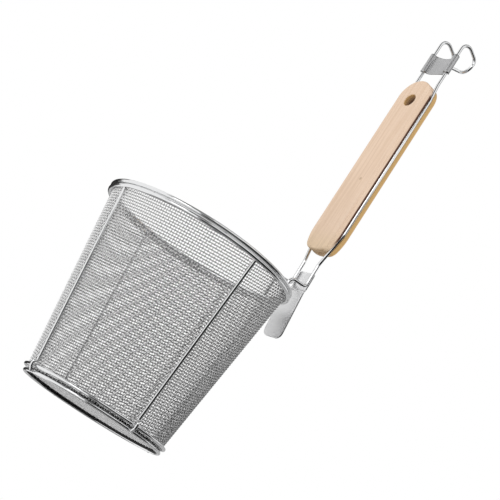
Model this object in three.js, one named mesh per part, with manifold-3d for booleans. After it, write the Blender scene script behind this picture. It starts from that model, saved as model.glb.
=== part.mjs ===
// Noodle strainer basket: a tapered woven-wire basket on wire rings and ribs, hung on a pot's edge by
// a wire bridge and a hook plate, and held by a wooden grip between the two legs of one bent wire.
// Millimetres, +Z up, +X from the basket towards its handle.
import * as THREE from 'three';
import { mergeGeometries, mergeVertices } from 'three/addons/utils/BufferGeometryUtils.js';
import Module from 'manifold-3d';

const wasm = await Module();
wasm.setup();

// Fit and fineness
const clearance = 0.3; // gap kept where two pieces touch
const hoopFacets = 72; // facets round the basket
const wireFacets = 8; // facets round a wire
const bendStep = THREE.MathUtils.degToRad(22); // most that one step of a wire's bend turns
const straightShare = 0.95; // most of a run between two bends that the bends may take up
const curveSteps = 10; // steps in a rounded outline

// Basket
const basketHeight = 134; // foot plane to the top of the rim
const rimRadius = 68.6; // basket axis to the middle of both rim wires
const rimWire = 2.7;
const footRadius = 50.2; // basket axis to the middle of the foot wire
const footWire = 2.3;
const girdleWire = 2.2;
const girdleLift = 1.4; // strip of mesh that shows between the foot ring and the girdle
const meshThickness = 1; // two crossing wires of the weave

// Openwork of the mesh: a plain grid that stands for the much finer weave
const wallColumns = 24; // openings round the wall
const wallRows = 9; // openings up the wall
const wallBar = 4.4; // bars between the wall's openings
const baseOpening = 7.4; // square openings of the base
const baseBar = 2.6; // bars between the base's openings

// Ribs
const ribCount = 4;
const ribWire = 2;
const ribTurn = 0; // first rib, measured from the handle
const ribJogRise = 5; // height in which a rib steps out to pass over the girdle
const ribJogRadius = 4;

// Handle wire
const handleWire = 2.4;
const potGap = 15.1; // rim to the middle of the handle wire, the room for a pot's wall
const bridgeRise = 19.5; // top of the rim to the outer end of the bridge
const bridgeFall = 1.2; // how much lower the bridge is at its inner end
const bridgeWidth = 16.8; // between the middles of the two wires
const shoulderRadius = 4; // bend from the bridge down to the rim
const elbowRadius = 3; // bend from the bridge up to the handle
const neckRise = 18.8; // straight rise from the bridge to where the wires spread
const spreadRadius = 12; // easy bends where the wires spread and draw in
const handleLean = THREE.MathUtils.degToRad(1.4); // outward lean above the neck
const hookWidth = 16.5; // between the middles of the hook's two legs
const hookRise = 14.4; // keeper to the middle of the wire at the top of the hook
const hookDrop = 16.5; // top of the hook to its cross bar
const crownRadius = 6; // bend at the top of the hook
const crownFall = THREE.MathUtils.degToRad(22); // slope of the wire from the crown to the outer leg
const barRadius = 6; // bends of the hook's outer leg

// Grip
const gripLift = 27.4; // bridge to the lower end of the grip
const gripLength = 150.4;
const gripWidth = 30.2;
const gripThickness = 11;
const gripTaper = 17; // tapered length at the lower end
const gripCrown = 15; // height of the rounded upper end
const gripEdge = 1.5; // softened edges
const grooveInset = 0.4; // wire's middle to the grip's narrow side
const holeDiameter = 10;
const holeDrop = 18; // top of the grip to the middle of the hanging hole

// Keeper clip
const keeperLift = 12; // top of the grip to the keeper
const keeperHeight = 15;
const keeperSheet = 0.8;
const keeperWidth = 24.6; // between the middles of the wires that it holds
const keeperBow = 3; // how far its web sags away from the basket
const keeperRoll = THREE.MathUtils.degToRad(240); // how far its ends roll round the wires

// Pot hook plate
const plateWidth = 20.8;
const plateTabWidth = 16.4; // the part that lies against the wires
const plateSheet = 1;
const plateRise = 11.6; // bridge to the plate's upper end
const plateBendDrop = 3; // bridge to the plate's bend, just below the wires
const plateStep = 2.2; // how far the plate steps in towards the basket at its bend
const plateDrop = 40.7; // bridge to the plate's lower end
const plateLean = THREE.MathUtils.degToRad(5); // outward lean below the bend
const plateCorner = 5;
const plateTopCorner = 1.5;

// Levels of the rings and of the mesh between them
const rimUpperZ = basketHeight - rimWire / 2;
const rimLowerZ = rimUpperZ - rimWire - clearance;
const meshTopZ = rimLowerZ + rimWire / 2;
const meshFootZ = footWire + clearance;
const meshTopRadius = rimRadius - rimWire / 2 - clearance;
const meshSlope = (meshTopRadius - footRadius) / (meshTopZ - meshFootZ);
const meshTilt = Math.atan(meshSlope);
const columnTurn = (2 * Math.PI) / wallColumns;
const barTurn = wallBar / ((footRadius + meshTopRadius) / 2);
const girdleZ = footWire + girdleLift + girdleWire / 2;
const girdleRadius = meshRadius(girdleZ) + clearance / Math.cos(meshTilt) + girdleWire / 2;

// Places along the handle
const handleX = rimRadius + rimWire / 2 + potGap;
const bridgeZ = basketHeight + bridgeRise;
const neckZ = bridgeZ + neckRise;
const gripFoot = gripLift - neckRise;
const gripTop = gripFoot + gripLength;
const keeperFoot = gripTop + keeperLift;
const hookTop = keeperFoot + keeperHeight + hookRise;
const grooveAcross = gripWidth / 2 - grooveInset;

const steel = { color: 0xc9cbcd, metalness: 1, roughness: 0.25 };
const wovenSteel = { color: 0xbfc0c1, metalness: 1, roughness: 0.4 };
const mirrorSteel = { color: 0xd2d4d6, metalness: 1, roughness: 0.08 };
const satinSteel = { color: 0xa9abad, metalness: 1, roughness: 0.35 };
const paleWood = { color: 0xe3c6af, metalness: 0, roughness: 0.7 };

/** Outer radius of the mesh wall at a height. */
function meshRadius(z) {
  return footRadius + meshSlope * (z - meshFootZ);
}

/** A point of the leaning handle: across the wires, along the handle from its neck, and outwards. */
function onHandle(across, along, out = 0) {
  const x = handleX + out * Math.cos(handleLean) + along * Math.sin(handleLean);
  const z = neckZ - out * Math.sin(handleLean) + along * Math.cos(handleLean);
  return new THREE.Vector3(x, across, z);
}

/** Turn of a route at one of its inner points. */
function turnAt(points, index) {
  const arrive = points[index].clone().sub(points[index - 1]);
  const leave = points[index + 1].clone().sub(points[index]);
  return arrive.angleTo(leave);
}

/** How far from each point its bend reaches, shortened where two bends would meet on one run. */
function bendReaches(points, radii) {
  const last = points.length - 1;
  const wanted = points.map((_, index) => {
    const inner = index > 0 && index < last;
    return inner ? radii[index] * Math.tan(turnAt(points, index) / 2) : 0;
  });
  const shares = points.slice(1).map((point, index) => {
    const room = point.distanceTo(points[index]) * straightShare;
    return Math.min(1, room / (wanted[index] + wanted[index + 1]));
  });
  return wanted.map((reach, index) => {
    return reach * Math.min(shares[index - 1] ?? 1, shares[index] ?? 1);
  });
}

/** Steps of the arc that rounds one point of a route. */
function bend(points, index, reach) {
  const arrive = points[index].clone().sub(points[index - 1]).normalize();
  const leave = points[index + 1].clone().sub(points[index]).normalize();
  const turn = arrive.angleTo(leave);
  const radius = reach / Math.tan(turn / 2);
  const start = points[index].clone().addScaledVector(arrive, -reach);
  const inward = leave.addScaledVector(arrive, -leave.dot(arrive)).normalize();
  const steps = Math.max(2, Math.ceil(turn / bendStep));
  return Array.from({ length: steps + 1 }, (_, step) => {
    const angle = (turn * step) / steps;
    const forward = radius * Math.sin(angle);
    const sideways = radius * (1 - Math.cos(angle));
    return start.clone().addScaledVector(arrive, forward).addScaledVector(inward, sideways);
  });
}

/** Middle line of a bent wire: straight runs between corners that are rounded to their radius. */
class WireRoute extends THREE.Curve {
  constructor(corners) {
    super();
    const points = corners.map((corner) => corner.point);
    const reaches = bendReaches(points, corners.map((corner) => corner.radius));
    const last = points.length - 1;
    this.stops = points.flatMap((point, index) => {
      return index > 0 && index < last ? bend(points, index, reaches[index]) : [point];
    });
  }

  get steps() {
    return this.stops.length - 1;
  }

  getPointAt(share, target = new THREE.Vector3()) {
    return target.copy(this.stops[Math.round(share * this.steps)]);
  }

  getTangentAt(share, target = new THREE.Vector3()) {
    const index = Math.round(share * this.steps);
    const ahead = this.stops[Math.min(index + 1, this.steps)];
    const behind = this.stops[Math.max(index - 1, 0)];
    return target.subVectors(ahead, behind).normalize();
  }
}

/** Corners of a round wire's section, turned so that it has a flat underneath. */
function wireSection(diameter, x = 0, y = 0) {
  return Array.from({ length: wireFacets }, (_, index) => {
    const angle = (2 * Math.PI * (index + 0.5)) / wireFacets;
    const radius = diameter / 2 / Math.cos(Math.PI / wireFacets);
    return new THREE.Vector2(x + radius * Math.cos(angle), y + radius * Math.sin(angle));
  });
}

function bentWire(corners, diameter) {
  const route = new WireRoute(corners);
  const section = new THREE.Shape(wireSection(diameter));
  return new THREE.ExtrudeGeometry(section, { steps: route.steps, extrudePath: route });
}

/** A profile of radius and height turned round the basket's axis. */
function revolved(profile) {
  return new THREE.LatheGeometry(profile, hoopFacets).rotateX(Math.PI / 2);
}

function hoop(radius, z, diameter) {
  const section = wireSection(diameter, radius, z);
  return revolved([...section, section[0]]);
}

/** A wall of bars between two stops of each level and azimuth, closed round every opening. */
function openworkWall(heights, azimuths) {
  const spot = (radius, azimuth, z) => [radius * Math.cos(azimuth), radius * Math.sin(azimuth), z];
  const positions = heights.flatMap((z) => azimuths.flatMap((azimuth) => {
    return [...spot(meshRadius(z), azimuth, z), ...spot(meshRadius(z) - meshThickness, azimuth, z)];
  }));
  const around = azimuths.length;
  const outer = (row, column) => 2 * (row * around + (column % around));
  const inner = (row, column) => outer(row, column) + 1;
  const solid = (row, column) => {
    const onWall = row >= 0 && row < heights.length - 1;
    return onWall && (row % 2 === 0 || column % 2 === 0);
  };
  const faces = [];
  const quad = (corners, turned = false) => {
    const [a, b, c, d] = turned ? corners.reverse() : corners;
    faces.push(a, b, c, a, c, d);
  };
  for (let row = 0; row < heights.length; row += 1) {
    for (let column = 0; column < around; column += 1) {
      const [next, above] = [column + 1, row + 1];
      const here = solid(row, column);
      const below = solid(row - 1, column);
      const beside = solid(row, column + around - 1);
      if (here) {
        quad([outer(row, column), outer(row, next), outer(above, next), outer(above, column)]);
        quad([inner(row, column), inner(row, next), inner(above, next), inner(above, column)], true);
      }
      if (here !== below) {
        quad([outer(row, column), outer(row, next), inner(row, next), inner(row, column)], here);
      }
      if (here !== beside) {
        quad([outer(row, column), inner(row, column), inner(above, column), outer(above, column)], here);
      }
    }
  }
  const geometry = new THREE.BufferGeometry();
  geometry.setAttribute('position', new THREE.Float32BufferAttribute(positions, 3));
  geometry.setIndex(faces);
  geometry.computeVertexNormals();
  return geometry;
}

/** The wall's bars, set so that each rib lies on an upright one. */
function meshWall() {
  const rowPitch = (meshTopZ - meshFootZ - wallBar) / wallRows;
  const heights = Array.from({ length: wallRows + 1 }, (_, index) => meshFootZ + index * rowPitch);
  const bars = Array.from({ length: wallColumns }, (_, index) => ribTurn + index * columnTurn);
  return openworkWall(
    heights.flatMap((z) => [z, z + wallBar]),
    bars.flatMap((azimuth) => [azimuth - barTurn / 2, azimuth + barTurn / 2]),
  );
}

/** A disc inside the wall's foot, with a grid of square openings wherever a whole one fits. */
function meshBase() {
  const radius = (footRadius - meshThickness) * Math.cos((columnTurn - barTurn) / 2) - clearance;
  const disc = revolved([
    new THREE.Vector2(0, meshFootZ),
    new THREE.Vector2(radius, meshFootZ),
    new THREE.Vector2(radius, meshFootZ + meshThickness),
    new THREE.Vector2(0, meshFootZ + meshThickness),
  ]);
  const pitch = baseOpening + baseBar;
  const half = baseOpening / 2;
  const most = Math.floor(radius / pitch);
  const openings = [];
  for (let column = -most; column <= most; column += 1) {
    for (let row = -most; row <= most; row += 1) {
      const [x, y] = [column * pitch, row * pitch];
      if (Math.hypot(Math.abs(x) + half, Math.abs(y) + half) < radius - baseBar) {
        const opening = new THREE.BoxGeometry(baseOpening, baseOpening, 2 * meshThickness);
        openings.push(opening.translate(x, y, meshFootZ + meshThickness / 2));
      }
    }
  }
  return toGeometry(toSolid(disc).subtract(toSolid(mergeGeometries(openings))));
}

/** A rib lies on the mesh from under the rim, steps out over the girdle and ends beside the foot ring. */
function rib() {
  const proud = (clearance + ribWire / 2) / Math.cos(meshTilt);
  const top = rimLowerZ - rimWire / 2 - clearance - (ribWire / 2) * Math.sin(meshTilt);
  const jog = girdleZ + girdleWire / 2 + ribJogRise;
  const overGirdle = girdleRadius + (girdleWire + ribWire) / 2 + clearance;
  const besideFoot = footRadius + (footWire + ribWire) / 2 + clearance;
  const corners = [
    [meshRadius(top) + proud, top],
    [meshRadius(jog) + proud, jog],
    [overGirdle, girdleZ + girdleWire],
    [overGirdle, girdleZ - girdleWire / 2],
    [besideFoot, footWire / 2],
  ];
  const route = corners.map(([radius, z]) => {
    return { point: new THREE.Vector3(radius, 0, z), radius: ribJogRadius };
  });
  return bentWire(route, ribWire);
}

/** Height along the handle of the hook's sloping run, its middle line carried on past both of its bends. */
function crownLine(out) {
  const centre = hookTop - crownRadius;
  return centre + (crownRadius - (out - crownRadius) * Math.sin(crownFall)) / Math.cos(crownFall);
}

/** Corners of the wire from one foot outside the rim, over the bridge and up to the hook's cross bar. */
function handleLeg(side) {
  const bridge = (side * bridgeWidth) / 2;
  const groove = side * grooveAcross;
  const keeper = (side * keeperWidth) / 2;
  const seatRadius = rimRadius + (rimWire + handleWire) / 2 + clearance;
  const seatX = Math.sqrt(seatRadius ** 2 - (bridgeWidth / 2) ** 2);
  return [
    { point: new THREE.Vector3(seatX, bridge, rimLowerZ - rimWire / 2) },
    { point: new THREE.Vector3(seatX, bridge, bridgeZ - bridgeFall), radius: shoulderRadius },
    { point: new THREE.Vector3(handleX, bridge, bridgeZ), radius: elbowRadius },
    { point: onHandle(bridge, 0), radius: spreadRadius },
    { point: onHandle(groove, gripFoot + gripTaper), radius: spreadRadius },
    { point: onHandle(groove, gripTop - gripCrown), radius: spreadRadius },
    { point: onHandle(keeper, gripTop), radius: spreadRadius },
    { point: onHandle(keeper, crownLine(0)), radius: crownRadius },
    { point: onHandle(keeper, crownLine(hookWidth), hookWidth), radius: barRadius },
    { point: onHandle(keeper, hookTop - hookDrop, hookWidth), radius: barRadius },
  ];
}

function handleWireLoop() {
  return bentWire([...handleLeg(-1), ...handleLeg(1).reverse()], handleWire);
}

/** An outline drawn across and up, given a thickness outwards. */
function board(outline, options) {
  return new THREE.ExtrudeGeometry(outline, options).rotateX(Math.PI / 2).rotateZ(Math.PI / 2);
}

function toSolid(geometry) {
  const bare = geometry.clone();
  bare.deleteAttribute('normal');
  bare.deleteAttribute('uv');
  const merged = mergeVertices(bare);
  const vertProperties = new Float32Array(merged.attributes.position.array);
  const triVerts = new Uint32Array(merged.index.array);
  return new wasm.Manifold(new wasm.Mesh({ numProp: 3, vertProperties, triVerts }));
}

function toGeometry(solid) {
  const mesh = solid.getMesh();
  const geometry = new THREE.BufferGeometry();
  geometry.setAttribute('position', new THREE.BufferAttribute(mesh.vertProperties, 3));
  geometry.setIndex(new THREE.BufferAttribute(mesh.triVerts, 1));
  geometry.computeVertexNormals();
  return geometry;
}

/** How far the wires lie from the handle's middle on the straight run where they spread. */
function wireAcrossAt(along) {
  const share = along / (gripFoot + gripTaper);
  return THREE.MathUtils.lerp(bridgeWidth / 2, grooveAcross, share);
}

function gripOutline() {
  const half = gripWidth / 2;
  const footHalf = wireAcrossAt(gripFoot) + grooveInset;
  const shoulder = gripTop - gripCrown;
  const outline = new THREE.Shape();
  outline.moveTo(-footHalf, gripFoot);
  outline.lineTo(footHalf, gripFoot);
  outline.quadraticCurveTo(half, gripFoot + gripTaper / 2, half, gripFoot + gripTaper);
  outline.lineTo(half, shoulder);
  outline.absellipse(0, shoulder, half, gripCrown, 0, Math.PI, false);
  outline.lineTo(-half, gripFoot + gripTaper);
  outline.quadraticCurveTo(-half, gripFoot + gripTaper / 2, -footHalf, gripFoot);
  const hole = new THREE.Path().absarc(0, gripTop - holeDrop, holeDiameter / 2, 0, 2 * Math.PI, true);
  outline.holes.push(hole);
  return outline;
}

/** What is cut from one narrow side of the grip to lay the wire in. */
function grooveCut(side) {
  const depth = handleWire / 2 + clearance;
  const beyond = side * gripWidth;
  const outline = new THREE.Shape([
    new THREE.Vector2(beyond, 0),
    new THREE.Vector2(beyond, gripTop + gripCrown),
    new THREE.Vector2(side * (keeperWidth / 2 - depth), gripTop + gripCrown),
    new THREE.Vector2(side * (keeperWidth / 2 - depth), gripTop),
    new THREE.Vector2(side * (grooveAcross - depth), gripTop - gripCrown),
    new THREE.Vector2(side * (grooveAcross - depth), gripFoot + gripTaper),
    new THREE.Vector2(side * (bridgeWidth / 2 - depth), 0),
  ]);
  return board(outline, { depth: 2 * depth, bevelEnabled: false }).translate(-depth, 0, 0);
}

function grip() {
  const slab = board(gripOutline(), {
    depth: gripThickness - 2 * gripEdge,
    bevelThickness: gripEdge,
    bevelSize: gripEdge,
    bevelOffset: -gripEdge,
    bevelSegments: 2,
    curveSegments: curveSteps,
  });
  slab.translate(gripEdge - gripThickness / 2, 0, 0);
  const grooved = toSolid(slab).subtract(toSolid(grooveCut(-1))).subtract(toSolid(grooveCut(1)));
  return toGeometry(grooved);
}

/** A sheet that sags between the two wires and rolls round each of them, seen along the handle. */
function keeperClip() {
  const half = keeperWidth / 2;
  const sleeve = handleWire / 2 + clearance + keeperSheet / 2;
  const start = -Math.PI / 2;
  const middle = new THREE.Path();
  middle.moveTo(keeperBow, 0);
  middle.quadraticCurveTo(keeperBow, half - sleeve, 0, half - sleeve);
  middle.absarc(0, half, sleeve, start, start - keeperRoll, true);
  const right = middle.getPoints(curveSteps).filter((point, index, all) => {
    return index === 0 || point.distanceTo(all[index - 1]) > keeperSheet / 10;
  });
  const left = right.slice(1).reverse().map((point) => new THREE.Vector2(point.x, -point.y));
  const line = [...left, ...right];
  const beside = (offset) => line.map((point, index) => {
    const ahead = line[Math.min(index + 1, line.length - 1)];
    const behind = line[Math.max(index - 1, 0)];
    const along = ahead.clone().sub(behind).normalize();
    return new THREE.Vector2(point.x - along.y * offset, point.y + along.x * offset);
  });
  const outline = new THREE.Shape([...beside(-keeperSheet / 2), ...beside(keeperSheet / 2).reverse()]);
  const geometry = new THREE.ExtrudeGeometry(outline, { depth: keeperHeight, bevelEnabled: false });
  return geometry.translate(0, 0, keeperFoot);
}

/** A strip that runs up from a square end to one with rounded corners. */
function stripOutline(width, length, corner) {
  const half = width / 2;
  const outline = new THREE.Shape();
  outline.moveTo(-half, 0);
  outline.lineTo(half, 0);
  outline.lineTo(half, length - corner);
  outline.absarc(half - corner, length - corner, corner, 0, Math.PI / 2, false);
  outline.lineTo(corner - half, length);
  outline.absarc(corner - half, length - corner, corner, Math.PI / 2, Math.PI, false);
  return outline;
}

/** The plate's tab lies against the wires, steps in at height 0 and goes on as a tongue that leans out. */
function hookPlate() {
  const sheet = { depth: plateSheet, bevelEnabled: false, curveSegments: curveSteps };
  const tab = board(stripOutline(plateTabWidth, plateRise + plateBendDrop, plateTopCorner), sheet);
  const step = new THREE.BoxGeometry(plateStep + plateSheet, plateWidth, plateSheet);
  step.translate((plateSheet - plateStep) / 2, 0, 0);
  const tongue = board(stripOutline(plateWidth, plateDrop - plateBendDrop, plateCorner), sheet);
  tongue.rotateX(Math.PI).rotateY(-plateLean).translate(-plateStep, 0, 0);
  return toGeometry(toSolid(tab).add(toSolid(step)).add(toSolid(tongue)));
}

function piece(name, geometry, finish) {
  const mesh = new THREE.Mesh(geometry, new THREE.MeshStandardMaterial(finish));
  mesh.name = name;
  return mesh;
}

const strainer = new THREE.Group();

strainer.add(
  piece('mesh_wall', meshWall(), wovenSteel),
  piece('mesh_base', meshBase(), wovenSteel),
  piece('rim_ring_upper', hoop(rimRadius, rimUpperZ, rimWire), steel),
  piece('rim_ring_lower', hoop(rimRadius, rimLowerZ, rimWire), steel),
  piece('girdle_ring', hoop(girdleRadius, girdleZ, girdleWire), steel),
  piece('foot_ring', hoop(footRadius, footWire / 2, footWire), steel),
  piece('handle_wire', handleWireLoop(), steel),
);

for (let index = 0; index < ribCount; index += 1) {
  const mesh = piece(`rib_${index + 1}`, rib(), steel);
  mesh.rotation.z = ribTurn + (2 * Math.PI * index) / ribCount;
  strainer.add(mesh);
}

const handle = new THREE.Group();
handle.position.set(handleX, 0, neckZ);
handle.rotation.y = handleLean;
handle.add(piece('grip', grip(), paleWood), piece('keeper_clip', keeperClip(), satinSteel));
strainer.add(handle);

const plate = piece('pot_hook_plate', hookPlate(), mirrorSteel);
plate.position.set(handleX + handleWire / 2 + clearance, 0, bridgeZ - plateBendDrop);
strainer.add(plate);

// The origin is the middle of the part's own box, at the foot plane.
const span = new THREE.Box3().setFromObject(strainer, true);
strainer.position.x = -(span.min.x + span.max.x) / 2;

export default strainer;
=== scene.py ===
"""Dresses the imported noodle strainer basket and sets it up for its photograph.

Shapes are worked out in millimetres with numpy, in the maker's frame: the origin is the basket's axis on the
foot plane, +Z is up and +X points from the basket to its handle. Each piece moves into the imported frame, in
metres, when its mesh is written.
"""

import logging
import math
from dataclasses import dataclass, field
from enum import Enum
from typing import Any, Sequence, Union

import bpy
import numpy as np
from mathutils import Matrix, Vector


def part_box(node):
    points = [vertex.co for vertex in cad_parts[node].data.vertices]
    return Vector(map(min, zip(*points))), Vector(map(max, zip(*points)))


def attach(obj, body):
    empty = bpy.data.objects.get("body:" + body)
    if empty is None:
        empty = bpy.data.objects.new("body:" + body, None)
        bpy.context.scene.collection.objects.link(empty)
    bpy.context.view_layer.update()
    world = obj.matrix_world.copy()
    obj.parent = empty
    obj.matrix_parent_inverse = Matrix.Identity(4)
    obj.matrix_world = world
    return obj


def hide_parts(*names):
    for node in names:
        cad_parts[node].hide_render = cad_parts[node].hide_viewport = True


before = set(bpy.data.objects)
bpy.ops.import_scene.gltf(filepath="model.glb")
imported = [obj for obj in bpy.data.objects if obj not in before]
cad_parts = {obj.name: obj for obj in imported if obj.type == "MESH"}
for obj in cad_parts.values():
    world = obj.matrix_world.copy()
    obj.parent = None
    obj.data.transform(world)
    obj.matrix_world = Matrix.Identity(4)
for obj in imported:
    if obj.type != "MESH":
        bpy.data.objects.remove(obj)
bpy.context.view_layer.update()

log = logging.getLogger("strainer")

MM = 0.001
BODY = "root"
STRAIGHT_SHARE = 0.95  # most of a straight run that its two bends may take up
BEND_STEP = math.radians(6)
TIP_TURN = 0.47 * np.pi  # where a wire's half-round tip ends in a small flat
POLE_TURN = 0.12  # where a bead's poles are cut flat, in radians
WIRE_SIDES = 16
UP = np.array([0.0, 0.0, 1.0])
Colour = tuple[float, float, float]


class Slot(Enum):
    """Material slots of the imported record."""

    WIRE = "wire_steel"
    MESH = "mesh_steel"
    PLATE = "plate_steel"
    KEEPER = "keeper_steel"
    WOOD = "grip_wood"


def basket_axis() -> np.ndarray:
    """Finds where the basket's axis meets the foot plane, as the middle of the rim, in millimetres."""
    low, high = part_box("rim_ring_upper")
    middle = (np.array(low) + np.array(high)) / (2 * MM)
    return np.array([middle[0], middle[1], 0.0])


AXIS = basket_axis()


@dataclass(frozen=True)
class NodeBox:
    """Box of a CAD node, in millimetres from the basket's axis."""

    low: np.ndarray
    high: np.ndarray

    @classmethod
    def of(cls, node: str) -> "NodeBox":
        """Reads the box of one node."""
        low, high = (np.array(corner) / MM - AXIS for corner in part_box(node))
        return cls(low, high)

    @property
    def size(self) -> np.ndarray:
        """Lengths of the box's sides."""
        return self.high - self.low

    @property
    def middle(self) -> np.ndarray:
        """Middle of the box."""
        return (self.low + self.high) / 2


# Surfaces


@dataclass
class Surface:
    """Points in millimetres, polygons grouped by their number of sides, and named values on the points."""

    points: np.ndarray
    polygons: list[np.ndarray]
    marks: dict[str, np.ndarray] = field(default_factory=dict)

    @classmethod
    def joined(cls, parts: Sequence["Surface"]) -> "Surface":
        """Puts several surfaces into one, with their points numbered on from each other.

        Args:
            parts: Surfaces without marks.

        Returns:
            One surface that holds them all.
        """
        counts = np.cumsum([0] + [len(part.points) for part in parts])
        polygons = [faces + start for part, start in zip(parts, counts) for faces in part.polygons]
        return cls(np.concatenate([part.points for part in parts]), polygons)

    def volume(self) -> float:
        """Signed volume: the sum over fan triangles of p0 . (p1 x p2) / 6, positive when faces point out."""
        total = 0.0
        for faces in self.polygons:
            corners = self.points[faces]
            first, rest = corners[:, :1], corners[:, 1:]
            total += np.einsum("nik,nik->", first + 0 * rest[:, :-1], np.cross(rest[:, :-1], rest[:, 1:])) / 6
        return total

    def outward(self) -> "Surface":
        """Turns the faces round where they point inwards."""
        if self.volume() < 0:
            self.polygons = [faces[:, ::-1] for faces in self.polygons]
        return self

    def mesh(self, name: str) -> bpy.types.Mesh:
        """Writes the surface as a smooth-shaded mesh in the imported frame.

        Args:
            name: Name of the mesh.

        Returns:
            The mesh, in metres.
        """
        mesh = bpy.data.meshes.new(name)
        corners = np.concatenate([faces.ravel() for faces in self.polygons])
        sides = np.concatenate([np.full(len(faces), faces.shape[1]) for faces in self.polygons])
        starts = np.cumsum(sides) - sides
        places = (self.points + AXIS) * MM
        mesh.vertices.add(len(places))
        mesh.vertices.foreach_set("co", places.astype(np.float32).ravel())
        mesh.loops.add(len(corners))
        mesh.loops.foreach_set("vertex_index", corners.astype(np.int32))
        mesh.polygons.add(len(sides))
        mesh.polygons.foreach_set("loop_start", starts.astype(np.int32))
        mesh.polygons.foreach_set("use_smooth", np.ones(len(sides), bool))
        mesh.update(calc_edges=True)
        for mark, values in self.marks.items():
            layer = mesh.attributes.new(mark, "FLOAT", "POINT")
            layer.data.foreach_set("value", values.astype(np.float32))
        return mesh


def unit(vectors: np.ndarray) -> np.ndarray:
    """Vectors of length 1 along the last axis."""
    return vectors / np.linalg.norm(vectors, axis=-1, keepdims=True)


def eased(share: np.ndarray) -> np.ndarray:
    """Smooth step 3t^2 - 2t^3 of a share held between 0 and 1."""
    share = np.clip(share, 0.0, 1.0)
    return share * share * (3 - 2 * share)


def grid_quads(rows: int, columns: int, closed: bool) -> np.ndarray:
    """Quads of a grid whose columns close on themselves, with point number row * columns + column.

    Args:
        rows: Number of rings.
        columns: Points in each ring.
        closed: Whether the last ring joins the first.

    Returns:
        Corner numbers, four to a row.
    """
    row = np.arange(rows if closed else rows - 1)[:, None] * columns
    ahead = (row + columns) % (rows * columns)
    column = np.arange(columns)[None, :]
    beside = (column + 1) % columns
    return np.stack([row + column, row + beside, ahead + beside, ahead + column], axis=-1).reshape(-1, 4)


def loft(rings: np.ndarray, closed: bool = False) -> Surface:
    """Skin over a stack of rings, with flat ends unless the stack closes on itself.

    Args:
        rings: Points as rings x points x 3.
        closed: Whether the last ring joins the first.

    Returns:
        A closed surface with its faces pointing out.
    """
    rows, columns = rings.shape[:2]
    polygons = [grid_quads(rows, columns, closed)]
    if not closed:
        first = np.arange(columns)[::-1]
        polygons.append(np.stack([first, (rows - 1) * columns + first[::-1]]))
    return Surface(rings.reshape(-1, 3), polygons).outward()


def carried_frames(path: np.ndarray) -> tuple[np.ndarray, np.ndarray]:
    """Two directions square to an open path, carried along it without twist.

    At each station the last direction loses its part along the new tangent, which is the mean of the
    directions of the two runs that meet there.

    Args:
        path: Stations x 3.

    Returns:
        The two directions, stations x 3 each.
    """
    runs = unit(np.diff(path, axis=0))
    tangents = unit(np.concatenate([runs[:1], runs[:-1] + runs[1:], runs[-1:]]))
    side = np.eye(3)[np.argmin(np.abs(tangents[0]))]
    sides = []
    for tangent in tangents:
        side = unit(side - (side @ tangent) * tangent)
        sides.append(side)
    normals = np.array(sides)
    return normals, np.cross(tangents, normals)


def sweep(path: np.ndarray, radii: Union[float, np.ndarray], sides: int) -> Surface:
    """Round wire along an open path: P(s, a) = path(s) + r(s) (cos a N + sin a B).

    Args:
        path: Stations x 3.
        radii: Wire radius, one value or one for each station.
        sides: Points round the wire.

    Returns:
        The closed wire.
    """
    normals, binormals = carried_frames(path)
    angles = np.linspace(0, 2 * np.pi, sides, endpoint=False)[None, :, None]
    reach = np.broadcast_to(radii, len(path))[:, None, None]
    rings = path[:, None] + reach * (np.cos(angles) * normals[:, None] + np.sin(angles) * binormals[:, None])
    return loft(rings)


def rounded_ends(path: np.ndarray, radius: float, steps: int = 5) -> tuple[np.ndarray, np.ndarray]:
    """Adds half-round tips to both ends of a wire's path.

    A tip's stations lie at r sin t past the end and have the radius r cos t, for t from 0 to almost
    90 degrees.

    Args:
        path: Stations x 3.
        radius: Wire radius.
        steps: Stations in each tip.

    Returns:
        The longer path and the radius at each of its stations.
    """
    turn = np.linspace(0, TIP_TURN, steps + 1)[1:]
    ahead = unit(path[-1] - path[-2])
    behind = unit(path[0] - path[1])
    last = path[-1] + radius * np.sin(turn)[:, None] * ahead
    first = (path[0] + radius * np.sin(turn)[:, None] * behind)[::-1]
    thin = radius * np.cos(turn)
    radii = np.concatenate([thin[::-1], np.full(len(path), radius), thin])
    return np.concatenate([first, path, last]), radii


def rounded_route(corners: np.ndarray, radii: np.ndarray, step: float) -> np.ndarray:
    """Path of straight runs between corners that are rounded to arcs.

    A bend of radius r and turn t reaches r tan(t / 2) along both runs. Where two bends would meet on a run,
    both shrink to share it.

    Args:
        corners: Corner points x 3, ends included.
        radii: Bend radius at each corner; the ends' values are not used.
        step: Most that one step of a bend turns, in radians.

    Returns:
        Stations x 3.
    """
    runs = np.diff(corners, axis=0)
    lengths = np.linalg.norm(runs, axis=1)
    ways = unit(runs)
    turns = np.arccos(np.clip(np.sum(ways[:-1] * ways[1:], axis=1), -1, 1))
    wanted = np.concatenate([[0], np.asarray(radii)[1:-1] * np.tan(turns / 2), [0]])
    shares = np.minimum(1, STRAIGHT_SHARE * lengths / np.maximum(wanted[:-1] + wanted[1:], 1e-9))
    reaches = wanted[1:-1] * np.minimum(shares[:-1], shares[1:])
    stretches = [corners[:1]]
    for corner, arrive, leave, turn, reach in zip(corners[1:-1], ways[:-1], ways[1:], turns, reaches):
        inward = unit(leave - (leave @ arrive) * arrive)
        angles = np.linspace(0, turn, max(2, math.ceil(turn / step)) + 1)[:, None]
        radius = reach / math.tan(turn / 2)
        start = corner - reach * arrive
        stretches.append(start + radius * (np.sin(angles) * arrive + (1 - np.cos(angles)) * inward))
    return np.concatenate([*stretches, corners[-1:]])


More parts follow.
